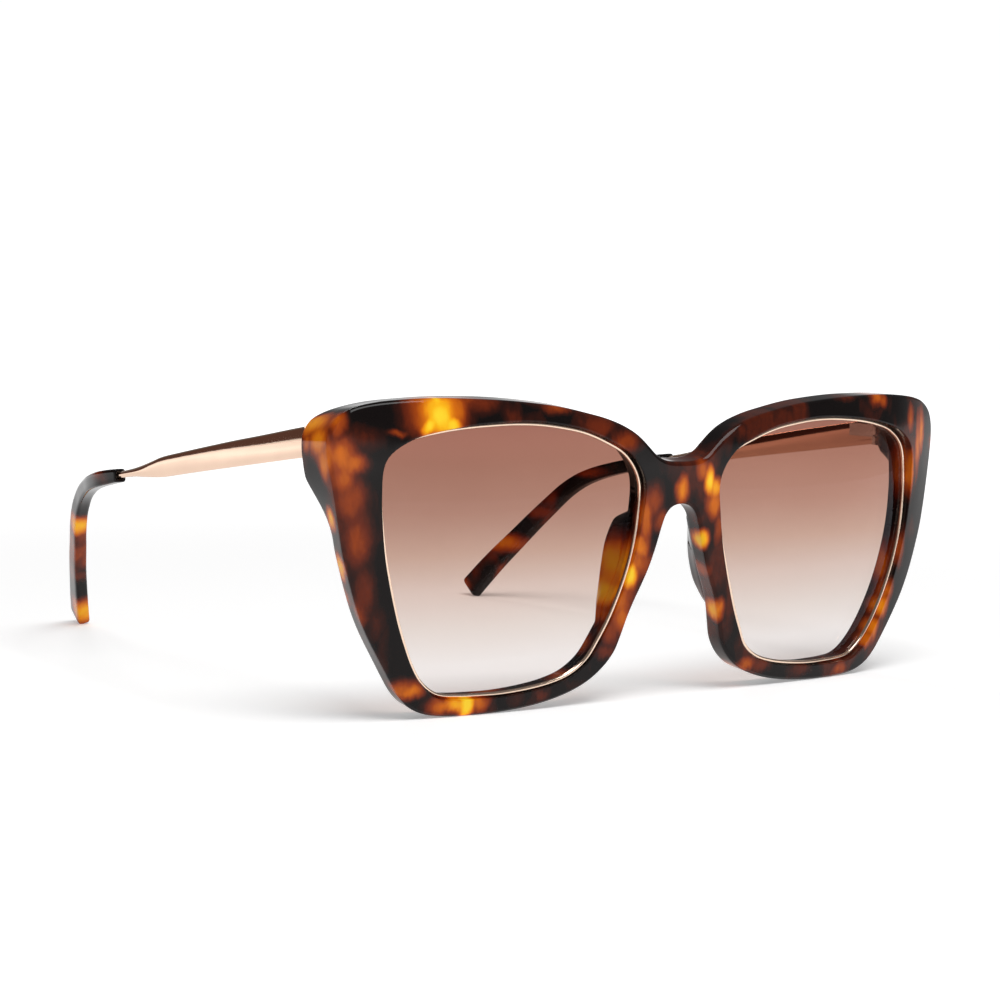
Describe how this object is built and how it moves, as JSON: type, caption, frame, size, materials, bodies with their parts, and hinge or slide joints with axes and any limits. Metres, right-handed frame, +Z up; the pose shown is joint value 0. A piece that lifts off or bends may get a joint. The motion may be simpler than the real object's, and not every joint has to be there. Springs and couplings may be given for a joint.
{
  "type": "cat eye sunglasses",
  "caption": "Large square cat eye sunglasses: polished tortoise acetate front, slim gold rim trim, brown gradient lenses, gold metal temples with acetate ear tips.",
  "frame": {"origin": "bottom centre of the open glasses' box, on the surface they rest on", "axes": "+Z up, the front faces -Y, the temples run back along +Y, +X is the wearer's left"},
  "size_m": [0.144, 0.1434, 0.0564],
  "materials": {
    "tortoise_acetate": "polished tortoiseshell acetate",
    "rose_gold_metal": "polished light rose gold plating",
    "hinge_steel": "bright nickel-silver hinge metal",
    "gradient_lens": "brown gradient tint, darker at the top"
  },
  "bodies": {
    "front": {"front_frame": "tortoise_acetate", "rim_ring_left": "rose_gold_metal", "lens_left": "gradient_lens", "nose_pad_left": "tortoise_acetate", "hinge_front_left": "hinge_steel", "hinge_screw_left": "hinge_steel", "rim_ring_right": "rose_gold_metal", "lens_right": "gradient_lens", "nose_pad_right": "tortoise_acetate", "hinge_front_right": "hinge_steel", "hinge_screw_right": "hinge_steel"},
    "arm_left": {"hinge_temple_left": "hinge_steel", "temple_left": "rose_gold_metal", "ear_tip_left": "tortoise_acetate"},
    "arm_right": {"hinge_temple_right": "hinge_steel", "temple_right": "rose_gold_metal", "ear_tip_right": "tortoise_acetate"}
  },
  "joints": [
    {"name": "temple_left_fold", "type": "hinge", "parent": "front", "child": "arm_left", "pos_m": [0.06775, -0.0534, 0.04755], "axis": [0, 0, 1], "range_deg": [0, 84]},
    {"name": "temple_right_fold", "type": "hinge", "parent": "front", "child": "arm_right", "pos_m": [-0.06775, -0.0534, 0.04755], "axis": [0, 0, -1], "range_deg": [0, 79]}
  ]
}
